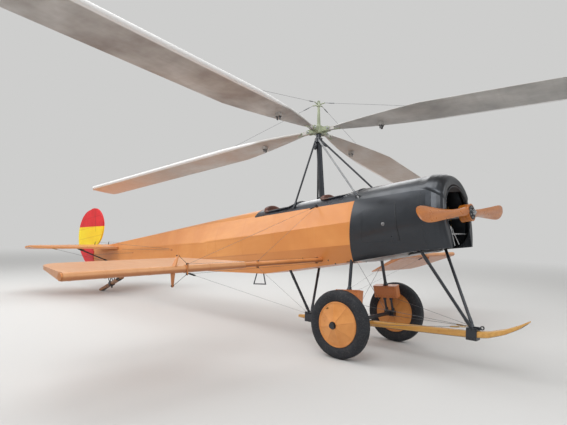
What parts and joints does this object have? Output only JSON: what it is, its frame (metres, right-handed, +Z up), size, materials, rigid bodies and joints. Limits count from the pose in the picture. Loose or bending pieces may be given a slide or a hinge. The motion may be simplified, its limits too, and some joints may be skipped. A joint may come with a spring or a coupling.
{
  "type": "gyrocopter",
  "caption": "Early gyrocopter: fabric fuselage, rotary engine and propeller in front, free-spinning overhead rotor on a mast, outrigger ailerons, wheels, centre skid and balanced rudder.",
  "frame": {"origin": "on the ground under the middle of the bounding box of the whole machine at rest", "axes": "+X towards the nose, +Y to the left, +Z up from the ground, standing on its wheels and tail skid"},
  "size_m": [11.5567, 9.717, 3.1502],
  "materials": {
    "fabric_orange": "doped linen, satin",
    "deck_black": "gloss enamel",
    "cowl_black": "gloss enamel",
    "coaming_leather": "worn leather",
    "seat_leather": "worn leather",
    "board_wood": "varnished",
    "engine_steel": "machined steel",
    "propeller_wood": "varnished",
    "hub_green": "satin enamel",
    "tube_black": "semi-gloss enamel",
    "wheel_orange": "satin paint",
    "tyre": "matt rubber",
    "skid_wood": "varnished ash",
    "boom_orange": "satin paint",
    "rudder_red": "doped linen, satin",
    "blade_grey": "doped fabric, aluminium grey"
  },
  "bodies": {
    "airframe": {"axle": "tube_black", "boom": "boom_orange", "centre_skid": "skid_wood", "cowl": "cowl_black", "crankshaft": "engine_steel", "front_brace": "tube_black", "front_coaming": "coaming_leather", "front_instrument_board": "board_wood", "front_seat": "seat_leather", "front_stay_left": "tube_black", "front_stay_right": "tube_black", "fuselage": "fabric_orange", "leg_left": "tube_black", "leg_right": "tube_black", "mast": "tube_black", "rear_brace": "tube_black", "rear_coaming": "coaming_leather", "rear_fuselage": "fabric_orange", "rear_instrument_board": "board_wood", "rear_seat": "seat_leather", "rear_stay_left": "tube_black", "rear_stay_right": "tube_black", "spring_box_left": "fabric_orange", "spring_box_right": "fabric_orange", "step": "tube_black", "tail_skid": "skid_wood", "tail_skid_frame": "tube_black", "tail_strut_left": "tube_black", "tail_strut_right": "tube_black", "tailplane": "fabric_orange", "top_deck": "deck_black"},
    "propeller": {"engine": "engine_steel", "propeller": "propeller_wood"},
    "rotor": {"rotor_hub": "hub_green"},
    "wheel_left": {"wheel_left": "wheel_orange", "tyre_left": "tyre"},
    "wheel_right": {"wheel_right": "wheel_orange", "tyre_right": "tyre"},
    "rudder": {"rudder": "rudder_red"},
    "elevator": {"elevator": "fabric_orange"},
    "aileron_left": {"aileron_left": "fabric_orange"},
    "aileron_right": {"aileron_right": "fabric_orange"},
    "blade_1": {"blade_1": "blade_grey"},
    "blade_2": {"blade_2": "blade_grey"},
    "blade_3": {"blade_3": "blade_grey"},
    "blade_4": {"blade_4": "blade_grey"}
  },
  "joints": [
    {"name": "propeller_spin", "type": "hinge", "parent": "airframe", "child": "propeller", "pos_m": [2.89719, 0.01592, 1.62841], "axis": [0.9882, 0, 0.153], "continuous": true},
    {"name": "rotor_spin", "type": "hinge", "parent": "airframe", "child": "rotor", "pos_m": [0.89763, 0.01591, 2.714], "axis": [-0.1177, 0.1107, 0.9869], "continuous": true},
    {"name": "blade_flap_1", "type": "hinge", "parent": "rotor", "child": "blade_1", "pos_m": [1.04587, 0.03253, 2.72981], "axis": [0.0977, -0.9877, 0.1224], "range_deg": [0, 12]},
    {"name": "blade_flap_2", "type": "hinge", "parent": "rotor", "child": "blade_2", "pos_m": [0.88298, 0.16406, 2.69564], "axis": [0.9882, 0.1108, 0.1054], "range_deg": [0, 12]},
    {"name": "blade_flap_3", "type": "hinge", "parent": "rotor", "child": "blade_3", "pos_m": [0.7494, -0.00071, 2.69819], "axis": [-0.0977, 0.9877, -0.1224], "range_deg": [0, 12]},
    {"name": "blade_flap_4", "type": "hinge", "parent": "rotor", "child": "blade_4", "pos_m": [0.91228, -0.13224, 2.73236], "axis": [-0.9882, -0.1108, -0.1054], "range_deg": [0, 12]},
    {"name": "wheel_left_spin", "type": "hinge", "parent": "airframe", "child": "wheel_left", "pos_m": [1.74863, 0.63892, 0.375], "axis": [0, 1, 0], "continuous": true},
    {"name": "wheel_right_spin", "type": "hinge", "parent": "airframe", "child": "wheel_right", "pos_m": [1.74863, -0.60708, 0.375], "axis": [0, 1, 0], "continuous": true},
    {"name": "rudder_hinge", "type": "hinge", "parent": "airframe", "child": "rudder", "pos_m": [-5.06853, 0.01592, 0.71299], "axis": [-0.153, 0, 0.9882], "range_deg": [-25, 25]},
    {"name": "elevator_hinge", "type": "hinge", "parent": "airframe", "child": "elevator", "pos_m": [-4.73817, 0.01592, 0.93211], "axis": [0, 1, 0], "range_deg": [-20, 20]},
    {"name": "aileron_left_hinge", "type": "hinge", "parent": "airframe", "child": "aileron_left", "pos_m": [1.26863, 2.51585, 1.02743], "axis": [0, 1, -0.0074], "range_deg": [-4, 30.5]},
    {"name": "aileron_right_hinge", "type": "hinge", "parent": "airframe", "child": "aileron_right", "pos_m": [1.26863, -2.48401, 1.02743], "axis": [0, 1, 0.0074], "range_deg": [-30.5, 4]}
  ],
  "couplings": [
    {"joint": "aileron_right_hinge", "follows": "aileron_left_hinge", "ratio": -1}
  ]
}
